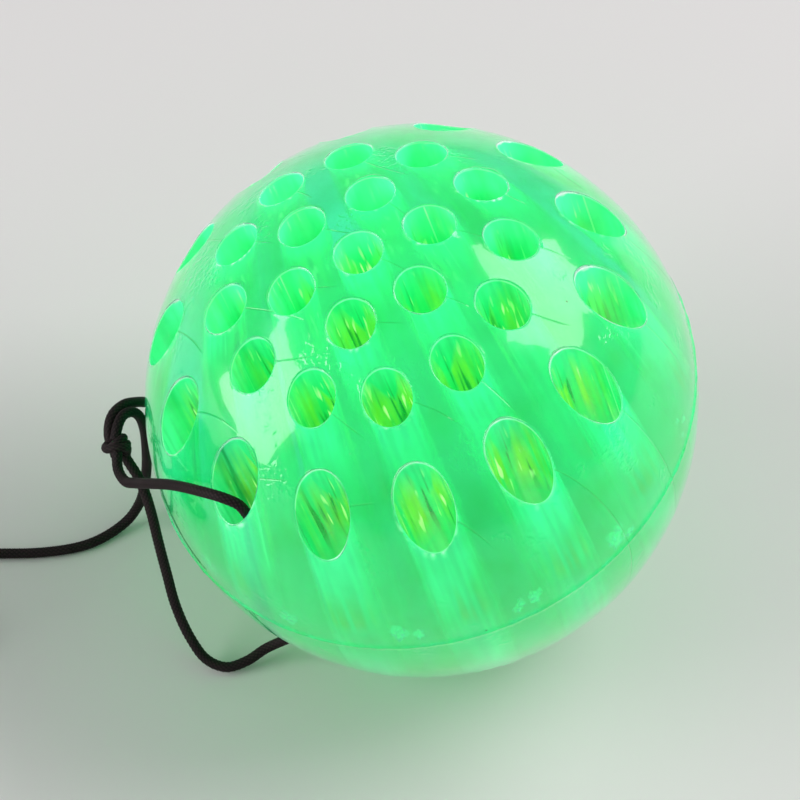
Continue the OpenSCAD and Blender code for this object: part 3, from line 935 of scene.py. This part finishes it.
class StrapSizes(bpy.types.PropertyGroup):
    """Sizes and colours of the wrist strap"""
    inside: FloatProperty(
        name="Inside", description="Inside diameter of the closed strap", default=50 * MM, unit="LENGTH")
    width: FloatProperty(
        name="Width", description="Width of the webbing", default=20 * MM, unit="LENGTH")
    thickness: FloatProperty(
        name="Thickness", description="Thickness of the webbing", default=1.2 * MM, unit="LENGTH")
    yarn: FloatProperty(
        name="Yarn", description="Width of one warp yarn", default=1.0 * MM, unit="LENGTH")
    pick: FloatProperty(
        name="Pick", description="Distance between the weft yarns", default=1.3 * MM, unit="LENGTH")
    patch_width: FloatProperty(
        name="Fastener", description="Width of the hook and loop tapes", default=16 * MM, unit="LENGTH")
    crown: FloatVectorProperty(
        name="Webbing", description="Colour of the webbing's yarns", default=linear("#2F2F33")[:3],
        subtype="COLOR")
    # The crevice colour is painted shade between the yarns
    crevice_shade: FloatVectorProperty(
        name="Crevice", description="Colour between yarns", default=linear("#0C0C0E")[:3], subtype="COLOR")


STRAP_X = -109.05 * MM
STRAP_Z = -22.379 * MM
OVERLAP_RISE = 3.6 * MM
RAMP_FROM, RAMP_OVER = math.radians(180), math.radians(32.4)
WEB_FROM, WEB_CUT, FLAP_TIP = math.radians(-145), math.radians(208), math.radians(305)
PATCH_FROM, PATCH_TO = math.radians(225), math.radians(295)
LOOP_R, HOOK_R = 26.25 * MM, 27.55 * MM
STITCH_PITCH, STITCH_LENGTH, STITCH_ROW = 3 * MM, 2 * MM, 7 * MM
THREAD_RADIUS = 0.16 * MM
EYELET_OUT = -82.3 * MM
EYELET_HOLE = 2.15 * MM
WEB_RELIEF = 0.11 * MM


def weave(x, y):
    """Height of a plain weave: warp yarns float over every other weft yarn."""
    i, j = np.floor(x), np.floor(y)
    across, length = np.cos(np.pi * (x - i - 0.5)), np.cos(np.pi * (y - j - 0.5))
    warp = across ** 0.5 * (0.45 + 0.55 * length)
    weft = 0.6 * length ** 0.5 * (0.6 + 0.4 * across)
    return np.where((i + j) % 2 < 1, warp, weft)


def strap_course(s):
    """Angles, inside radii and lengths along the strap's middle, close together from inner end to tip."""
    angles = np.linspace(WEB_FROM, FLAP_TIP, 6000)
    radii = s.inside / 2 + OVERLAP_RISE * eased((angles - RAMP_FROM) / RAMP_OVER)
    middle = (radii + s.thickness / 2)[:, None] * np.stack([np.cos(angles), np.sin(angles)], axis=1)
    way = np.concatenate([[0], np.cumsum(np.linalg.norm(np.diff(middle, axis=0), axis=1))])
    return angles, radii, way


def band(angles, radii, way, thick, width, yarn, pick, relief, cuts=(), hole=None):
    """A band of cloth that stands on edge round the strap's centre: points, faces, heights in its weave and
    the numbers of its end faces. cuts are the places along it where it was cut, hole that of a round hole."""
    columns = int(4 * width / yarn)
    edge = 0.4 * thick
    z = np.linspace(edge - width / 2, width / 2 - edge, columns + 1)
    outside = weave(z[None] / yarn, way[:, None] / pick)
    inside = weave(z[None] / yarn + 1, way[:, None] / pick)
    bow = np.radians((36, 72, 108, 144))
    rib = 1 + 0.05 * np.sin(2 * np.pi * way / pick)[:, None]
    side = thick / 2 * (1 + 0.94 * np.cos(bow)[None] * rib)
    up = (width / 2 - edge + edge * np.sin(bow))[None] * np.ones((len(way), 1))
    over = z[None] * np.ones((len(way), 1))
    depth = np.hstack([thick - relief * (1 - outside), side, (relief * (1 - inside))[:, ::-1], side[:, ::-1]])
    height = np.hstack([over, up, over[:, ::-1], -up])
    tone = np.hstack([outside, 0.6 * np.ones_like(up), inside[:, ::-1], 0.6 * np.ones_like(up)])
    for cut in cuts:
        melt = np.exp(-((way - cut) / (0.5 * MM)) ** 2)[:, None]
        depth = thick / 2 + (depth - thick / 2) * (1 - 0.35 * melt)
        tone = tone * (1 - melt) + 0.9 * melt
    far = radii[:, None] + depth
    points = np.stack([STRAP_X + far * np.cos(angles)[:, None], far * np.sin(angles)[:, None],
                       STRAP_Z + height], axis=-1)
    n, sides = far.shape
    quads = between_rings(n, sides)
    keep = np.ones(quads.shape[:2], bool)
    walls = []
    if hole is not None:
        mid_z = (z[:-1] + z[1:]) / 2
        mid_way = (way[:-1] + way[1:]) / 2
        gone = np.hypot(mid_z[None], mid_way[:, None] - hole) < EYELET_HOLE
        back = columns + 1 + len(bow)
        keep[:, :columns] = ~gone
        keep[:, back:back + columns] = ~gone[:, ::-1]
        rims = {}
        for i, k in np.argwhere(gone):
            ring = quads[i, k].tolist()
            for a, b in zip(ring, ring[1:] + ring[:1]):
                if not rims.pop((b, a), None):
                    rims[a, b] = True
        for a, b in rims:
            walls.append([a, b] + [i - i % sides + back + columns - i % sides for i in (b, a)])
    faces = quads[keep].tolist() + walls
    faces += [list(range(sides)), list(range((n - 1) * sides, n * sides))[::-1]]
    return points.reshape(-1, 3), faces, tone.ravel(), (len(faces) - 2, len(faces) - 1)


def woven_webbing(s):
    """Woven polyester webbing: dull black yarn crowns, gaps painted near-black as painted shade, and a faint
    sheen of filament yarn.
    """
    material, add = new_material("woven_polyester_webbing")
    place = add("TexCoord", out="Object")
    height = add("Attribute", out="Fac", attribute_name="weave")
    # Filaments are about 0.02 mm; they are drawn at 0.2 mm so that they show
    fibre = add("TexNoise", (place, per_mm(0.2), 3.0))
    dye = add("TexNoise", (place, per_mm(6), 2.0))
    tone = add("Math", (dye, 0.5, -0.3), operation="MULTIPLY_ADD")
    # The weave's low places are painted darker, as painted shade
    tone = add("Math", (height, tone), operation="ADD")
    tone = add("Math", (fibre, 0.5, tone), operation="MULTIPLY_ADD")
    colour = add("Mix", (tone, (*s.crevice_shade, 1), (*s.crown, 1)), data_type="RGBA")
    rough = add("MapRange", (fibre, 0.0, 1.0, 0.5, 0.8))
    bump = add("Bump", {"Height": fibre, "Strength": 0.4, "Distance": 0.06 * MM})
    shader = add("BsdfPrincipled", {
        "Base Color": colour, "Roughness": rough, "Normal": bump,
        "Sheen Weight": 0.2, "Sheen Roughness": 0.35, "Sheen Tint": linear("#A4A4AC")})
    add("OutputMaterial", {"Surface": shader})
    return material


class WRISTBALL_OT_strap(bpy.types.Operator):
    """Makes the woven strap and its free end"""
    bl_idname = "wristball.strap"
    bl_label = "Strap"

    def execute(self, context):
        s = context.scene.wristball_strap
        cloth = woven_webbing(s)
        angles, radii, way = strap_course(s)
        tip = float(way[-1])
        hole = float(np.interp(0, angles, way))
        # The two lengths meet on the crest of a pick, where the weave is level and the joint shows least
        split = (int(np.interp(WEB_CUT, angles, way) / s.pick) + 0.5) * s.pick
        made = []
        for name, first, last, cut, through in (("woven_strap", 0.0, split, 0.0, hole),
                                                ("strap_free_end", split, tip, tip, None)):
            at = np.linspace(first, last, round((last - first) * 4 / s.pick) + 1)
            points, faces, tone, flat = band(
                np.interp(at, way, angles), np.interp(at, way, radii), at, s.thickness, s.width, s.yarn,
                s.pick, WEB_RELIEF, (cut,), through)
            piece = mesh_object(name, points, faces, cloth, flat=flat)
            mark(piece, "weave", tone)
            made.append(piece)
        ring, free = made
        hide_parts("wrist_strap")
        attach(ring, "strap")
        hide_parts("strap_flap")
        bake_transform(free)
        return {"FINISHED"}


# Fastener

PILE_STEP = 0.72 * MM
HOOK_STEP, HOOK_ROW = 0.95 * MM, 0.9 * MM
# A hook's line in millimetres, along its row and off the tape, and its radii there
HOOK_BEND = ((0, -0.1), (0, 0.1), (0.01, 0.24), (0.06, 0.34), (0.15, 0.4), (0.25, 0.38), (0.3, 0.29))
HOOK_RADII = (0.13, 0.11, 0.095, 0.085, 0.08, 0.07, 0.05)


def knitted_loops():
    """Brushed knitted loop tape: a dark fuzzy pile whose raised loops are painted lighter, as painted light,
    over a ground painted darker, as painted shade.
    """
    material, add = new_material("knitted_nylon_loop_tape")
    place = add("TexCoord", out="Object")
    height = add("Attribute", out="Fac", attribute_name="weave")
    fuzz = add("TexNoise", (place, per_mm(0.5), 4.0))
    tone = add("Math", (height, 0.6, fuzz), operation="MULTIPLY_ADD")
    colour = add("Mix", (tone, linear("#141416"), linear("#3D3D42")), data_type="RGBA")
    rough = add("MapRange", (fuzz, 0.0, 1.0, 0.75, 0.95))
    bump = add("Bump", {"Height": fuzz, "Strength": 0.5, "Distance": 0.1 * MM})
    shader = add("BsdfPrincipled", {
        "Base Color": colour, "Roughness": rough, "Normal": bump,
        "Sheen Weight": 0.5, "Sheen Roughness": 0.5, "Sheen Tint": linear("#B0B0B8")})
    add("OutputMaterial", {"Surface": shader})
    return material


def moulded_hooks():
    """Moulded nylon hook tape: stiff, half-glossy black hooks on a woven ground painted darker, as painted
    shade.
    """
    material, add = new_material("moulded_nylon_hook_tape")
    place = add("TexCoord", out="Object")
    height = add("Attribute", out="Fac", attribute_name="weave")
    grain = add("TexNoise", (place, per_mm(0.4), 3.0))
    tone = add("Math", (height, 0.7, grain), operation="MULTIPLY_ADD")
    colour = add("Mix", (tone, linear("#101012"), linear("#303034")), data_type="RGBA")
    rough = add("MapRange", (grain, 0.0, 1.0, 0.3, 0.5))
    bump = add("Bump", {"Height": grain, "Strength": 0.25, "Distance": 0.06 * MM})
    shader = add("BsdfPrincipled", {"Base Color": colour, "Roughness": rough, "Normal": bump})
    add("OutputMaterial", {"Surface": shader})
    return material


def on_strap(radius, angle, z):
    """A point round the strap's centre, and the directions out, along and up there."""
    out = np.array((math.cos(angle), math.sin(angle), 0))
    along_strap = np.array((-math.sin(angle), math.cos(angle), 0))
    return np.array((STRAP_X, 0, STRAP_Z + z)) + radius * out, out, along_strap, np.array((0, 0, 1.0))


def tape_ground(s, radius, thick):
    """The ground of a fastener tape, with the threads that its pile or hooks stand on."""
    angles = np.linspace(PATCH_FROM, PATCH_TO, round((PATCH_TO - PATCH_FROM) * radius / (0.2 * MM)))
    way = (angles - PATCH_FROM) * radius
    points, faces, tone, _ = band(
        angles, np.full(len(angles), radius), way, thick, s.patch_width, yarn=0.8 * MM, pick=0.8 * MM,
        relief=0.08 * MM, cuts=(0.0, float(way[-1])))
    return points, faces, tone


def pile_loops(s, radius):
    """The pile of the loop tape. Its threads, about 0.05 mm thick, are drawn twice as thick to show."""
    draw = random.Random(11)
    rows = int((s.patch_width - 1.4 * MM) / PILE_STEP)
    count = int((PATCH_TO - PATCH_FROM) * radius / PILE_STEP) - 1
    t = np.linspace(0, 1, 8)[:, None]
    parts = []
    for i in range(count):
        for j in range(rows):
            angle = PATCH_FROM + (i + 1 + draw.uniform(-0.35, 0.35)) * PILE_STEP / radius
            z = (j + 0.5 + draw.uniform(-0.35, 0.35)) * PILE_STEP - rows * PILE_STEP / 2
            base, out, length, up = on_strap(radius, angle, z)
            turn = draw.uniform(0, math.pi)
            way = math.cos(turn) * length + math.sin(turn) * up
            lean = draw.uniform(-0.25, 0.25) * MM * np.cross(out, way)
            wide, tall = draw.uniform(0.45, 0.7) * MM, draw.uniform(0.36, 0.56) * MM
            bulge = wide * (t - 0.5) * (1 + 0.6 * np.sin(np.pi * t))
            line = base + way * bulge + (out * tall + lean) * np.sin(np.pi * t) - 0.08 * MM * out
            parts.append(tube(line, np.full((8, 4), 0.05 * MM)))
    return parts


def hook_rows(s, radius):
    """Rows of hooks that face inwards, each row bent the other way."""
    draw = random.Random(12)
    rows = int((s.patch_width - 1.2 * MM) / HOOK_ROW)
    count = int((PATCH_TO - PATCH_FROM) * radius / HOOK_STEP) - 1
    bend = np.array(HOOK_BEND) * MM
    thick = np.array(HOOK_RADII)[:, None] * np.ones((1, 6)) * MM
    parts = []
    for i in range(count):
        for j in range(rows):
            angle = PATCH_FROM + (i + 1 + 0.06 * draw.uniform(-1, 1)) * HOOK_STEP / radius
            z = (j + 0.5) * HOOK_ROW - rows * HOOK_ROW / 2
            base, out, length, _ = on_strap(radius, angle, z)
            way = length if j % 2 else -length
            line = base + bend[:, :1] * way - bend[:, 1:] * out
            parts.append(tube(line, thick))
    return parts


class WRISTBALL_OT_fastener(bpy.types.Operator):
    """Makes the loop tape on the strap and the hook tape on its free end"""
    bl_idname = "wristball.fastener"
    bl_label = "Fastener"

    def execute(self, context):
        s = context.scene.wristball_strap
        for name, node, body, material, radius, thick, pile in (
                ("loop_tape", "loop_patch", "strap", knitted_loops(), LOOP_R, 0.42 * MM,
                 pile_loops(s, LOOP_R + 0.4 * MM)),
                ("hook_tape", "hook_patch", "flap", moulded_hooks(), HOOK_R + 0.52 * MM, 0.46 * MM,
                 hook_rows(s, HOOK_R + 0.54 * MM))):
            points, faces, tone = tape_ground(s, radius, thick)
            ground = len(points)
            points, faces = joined([(points, faces), *pile])
            piece = mesh_object(name, points, faces, material)
            # The ground's tone is halved under the pile or hooks, so the ground is painted darker, as painted
            # shade
            mark(piece, "weave", np.concatenate([0.5 * tone, np.ones(len(points) - ground)]))
            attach(piece, body)
            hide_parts(node)
        return {"FINISHED"}


# Stitching

def spun_thread():
    """Spun polyester sewing thread: two plies, grey-black, their crowns painted lighter as a painted lustre
    and the grooves between them painted darker as painted shade.
    """
    material, add = new_material("spun_polyester_thread")
    place = add("TexCoord", out="Object")
    height = add("Attribute", out="Fac", attribute_name="weave")
    fibre = add("TexNoise", (place, per_mm(0.12), 2.0))
    tone = add("Math", (fibre, 0.5, height), operation="MULTIPLY_ADD")
    colour = add("Mix", (tone, linear("#1C1C1E"), linear("#57575C")), data_type="RGBA")
    rough = add("MapRange", (fibre, 0.0, 1.0, 0.5, 0.75))
    shader = add("BsdfPrincipled", {"Base Color": colour, "Roughness": rough, "Sheen Weight": 0.2})
    add("OutputMaterial", {"Surface": shader})
    return material


class WRISTBALL_OT_stitching(bpy.types.Operator):
    """Makes the stitches that hold the two tapes"""
    bl_idname = "wristball.stitching"
    bl_label = "Stitching"

    def execute(self, context):
        thread = spun_thread()
        sides, rings = 14, 29
        turn = 2 * np.pi * np.arange(sides) / sides
        t = np.linspace(-1, 1, rings)
        ply = np.abs(np.cos(turn[None] - 2.2 * np.pi * t[:, None]))
        for name, node, body, seat, dive in (("strap_stitches", "strap_stitching", "strap", 24.78 * MM, 1),
                                             ("free_end_stitches", "flap_stitching", "flap", 29.98 * MM, -1)):
            step = STITCH_PITCH / seat
            margin = 1 * MM / seat
            count = int((PATCH_TO - PATCH_FROM - 2 * margin) / step)
            parts = []
            for i in range(count):
                for row in (-1, 1):
                    angle = PATCH_FROM + margin + (i + 0.5) * step
                    line = []
                    for u in t:
                        sink = dive * 0.42 * MM * abs(u) ** 5
                        at, *_ = on_strap(seat + sink, angle + u * STITCH_LENGTH / 2 / seat,
                                          row * STITCH_ROW + 0.12 * MM * u)
                        line.append(at)
                    parts.append(tube(np.array(line), THREAD_RADIUS * (0.78 + 0.22 * ply)))
            points, faces = joined(parts)
            piece = mesh_object(name, points, faces, thread)
            mark(piece, "weave", np.tile(ply.ravel(), len(parts)))
            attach(piece, body)
            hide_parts(node)
        return {"FINISHED"}


# Eyelet

def nickel_plate():
    """Nickel-plated steel, rolled in a press: a warm grey mirror with wear and fine turning marks."""
    material, add = new_material("nickel_plated_steel")
    place = add("TexCoord", out="Object")
    wear = add("TexNoise", (place, per_mm(0.9), 5.0))
    turned = add("Attribute", out="Fac", attribute_name="turned")
    # Turning marks are about 0.02 mm apart; they are drawn at 0.12 mm so that they show
    lines = add("Math", (turned, 2 * math.pi / 0.12), operation="MULTIPLY")
    lines = add("Math", (lines,), operation="SINE")
    colour = add("Mix", (wear, linear("#B7B1A6"), linear("#D3CEC4")), data_type="RGBA")
    rough = add("MapRange", (wear, 0.0, 1.0, 0.14, 0.36))
    bump = add("Bump", {"Height": lines, "Strength": 0.08, "Distance": 0.02 * MM})
    shader = add("BsdfPrincipled", {
        "Base Color": colour, "Metallic": 1.0, "Roughness": rough, "Normal": bump})
    add("OutputMaterial", {"Surface": shader})
    return material


# Half section of the eyelet in millimetres: distance from its outer face along the axis, and radius
EYELET_SECTION = (
    (0.16, 1.3), (0.06, 1.42), (0.01, 1.66), (0.0, 2.0), (0.03, 2.4), (0.1, 2.8), (0.2, 3.1), (0.32, 3.26),
    (0.43, 3.3), (0.5, 3.25), (0.5, 3.0), (0.46, 2.5), (0.46, 1.95), (0.6, 1.8), (1.3, 1.8), (1.9, 1.8),
    (2.06, 1.95), (2.06, 2.5), (2.02, 3.05), (2.03, 3.22), (2.12, 3.29), (2.22, 3.24), (2.34, 3.02),
    (2.45, 2.6), (2.5, 2.1), (2.519, 1.75), (2.49, 1.48), (2.4, 1.34), (2.25, 1.3), (1.5, 1.3), (0.8, 1.3))


class WRISTBALL_OT_eyelet(bpy.types.Operator):
    """Makes the pressed eyelet in the strap"""
    bl_idname = "wristball.eyelet"
    bl_label = "Eyelet"

    def execute(self, context):
        sides = 96
        along_axis, radii = np.array(EYELET_SECTION).T[..., None] * MM
        turn = 2 * np.pi * np.arange(sides) / sides
        n = len(radii)
        points = np.stack([np.broadcast_to(EYELET_OUT - along_axis, (n, sides)), radii * np.cos(turn)[None],
                           STRAP_Z + radii * np.sin(turn)[None]], axis=-1)
        # The section is closed, so its last ring is followed by the first
        faces = (between_rings(n + 1, sides) % (n * sides)).reshape(-1, 4).tolist()
        eyelet = mesh_object("pressed_eyelet", points.reshape(-1, 3), faces, nickel_plate())
        mark(eyelet, "turned", np.repeat(radii[:, 0] / MM, sides))
        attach(eyelet, "strap")
        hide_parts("eyelet")
        return {"FINISHED"}


# Stage

class StageSizes(bpy.types.PropertyGroup):
    """Camera, light and table"""
    lens: FloatProperty(
        name="Lens", description="Focal length on a 36 mm sensor, in millimetres", default=171.1)
    camera: FloatVectorProperty(
        name="Camera", description="The camera's place", subtype="TRANSLATION", unit="LENGTH",
        default=(-9.8 * MM, -269.6 * MM, 356.5 * MM))


CAMERA_RIGHT = Vector((0.99979, 0, 0.0203))
CAMERA_UP = Vector((-0.01224, 0.79766, 0.6030))
TABLE_HALF = 3


def soft_box(name, place, size, power):
    """A rectangular area light that faces the ball's middle."""
    lamp = bpy.data.lights.new(name, "AREA")
    lamp.shape = "RECTANGLE"
    lamp.size, lamp.size_y = size
    lamp.energy = power
    obj = bpy.data.objects.new(name, lamp)
    bpy.context.scene.collection.objects.link(obj)
    obj.location = place
    obj.rotation_mode = "QUATERNION"
    obj.rotation_quaternion = (-Vector(place)).to_track_quat("-Z", "Y")


class WRISTBALL_OT_stage(bpy.types.Operator):
    """Makes the camera, the lights and the pale table"""
    bl_idname = "wristball.stage"
    bl_label = "Stage"

    def execute(self, context):
        s = context.scene.wristball_stage
        scene = context.scene
        data = bpy.data.cameras.new("camera")
        data.lens, data.sensor_width = s.lens, 36
        data.clip_start, data.clip_end = 0.01, 10
        camera = bpy.data.objects.new("camera", data)
        scene.collection.objects.link(camera)
        back = CAMERA_RIGHT.cross(CAMERA_UP)
        turn = Matrix((CAMERA_RIGHT, CAMERA_UP, back)).transposed().to_4x4()
        camera.matrix_world = Matrix.Translation(s.camera) @ turn
        scene.camera = camera
        scene.view_settings.view_transform = "Standard"
        # The green light passes many walls of rubber
        scene.cycles.max_bounces = 12

        world = bpy.data.worlds.new("studio")
        world.use_nodes = True
        world.node_tree.nodes["Background"].inputs["Color"].default_value = linear("#F2F2F4")
        world.node_tree.nodes["Background"].inputs["Strength"].default_value = 0.39
        scene.world = world
        soft_box("soft_box_left", place=(-0.72, -0.16, 0.26), size=(0.5, 0.5), power=3.6)
        soft_box("soft_box_right", place=(0.5, 0.2, 0.55), size=(0.6, 0.5), power=3.8)

        low = CAD_BOX[0].z
        corners = [(-TABLE_HALF, -TABLE_HALF, low), (TABLE_HALF, -TABLE_HALF, low),
                   (TABLE_HALF, TABLE_HALF, low), (-TABLE_HALF, TABLE_HALF, low)]
        table = mesh_object("table", corners, [(0, 1, 2, 3)], pale_paper())
        return {"FINISHED"}


def pale_paper():
    """Matt pale paper, which keeps the object's soft shadow."""
    material, add = new_material("matt_pale_paper")
    shader = add("BsdfPrincipled", {"Base Color": linear("#E4E0E0"), "Roughness": 0.9})
    add("OutputMaterial", {"Surface": shader})
    return material


class WRISTBALL_PT_panel(bpy.types.Panel):
    """Lists the pieces with their sizes and colours"""
    bl_idname = "WRISTBALL_PT_panel"
    bl_label = "Wrist Return Ball"
    bl_space_type = "VIEW_3D"
    bl_region_type = "UI"
    bl_category = "Wrist Ball"

    def draw(self, context):
        for operators, group in PANEL_ROWS:
            box = self.layout.box()
            for name in operators:
                box.operator(name)
            sizes = getattr(context.scene, group)
            for name in sizes.bl_rna.properties.keys():
                if name not in ("rna_type", "name"):
                    box.prop(sizes, name)


PANEL_ROWS = (
    (("wristball.stage",), "wristball_stage"), (("wristball.cord",), "wristball_cord"),
    (("wristball.ball",), "wristball_ball"),
    (("wristball.strap", "wristball.fastener", "wristball.stitching", "wristball.eyelet"), "wristball_strap"))
GROUPS = {"wristball_stage": StageSizes, "wristball_cord": CordSizes, "wristball_ball": BallSizes,
          "wristball_strap": StrapSizes}
CLASSES = (*GROUPS.values(), WRISTBALL_OT_stage, WRISTBALL_OT_cord, WRISTBALL_OT_ball, WRISTBALL_OT_strap,
           WRISTBALL_OT_fastener, WRISTBALL_OT_stitching, WRISTBALL_OT_eyelet, WRISTBALL_PT_panel)


def register():
    """Registers the classes, and gives the scene its groups of sizes."""
    for c in CLASSES:
        bpy.utils.register_class(c)
    for name, group in GROUPS.items():
        setattr(bpy.types.Scene, name, PointerProperty(type=group))


def unregister():
    """Takes the scene's groups of sizes and the classes away again."""
    for name in GROUPS:
        delattr(bpy.types.Scene, name)
    for c in reversed(CLASSES):
        bpy.utils.unregister_class(c)


def main():
    """Builds everything."""
    register()
    bpy.ops.wristball.stage()
    bpy.ops.wristball.cord()
    bpy.ops.wristball.ball()
    bpy.ops.wristball.strap()
    bpy.ops.wristball.fastener()
    bpy.ops.wristball.stitching()
    bpy.ops.wristball.eyelet()


if __name__ == "__main__":
    main()
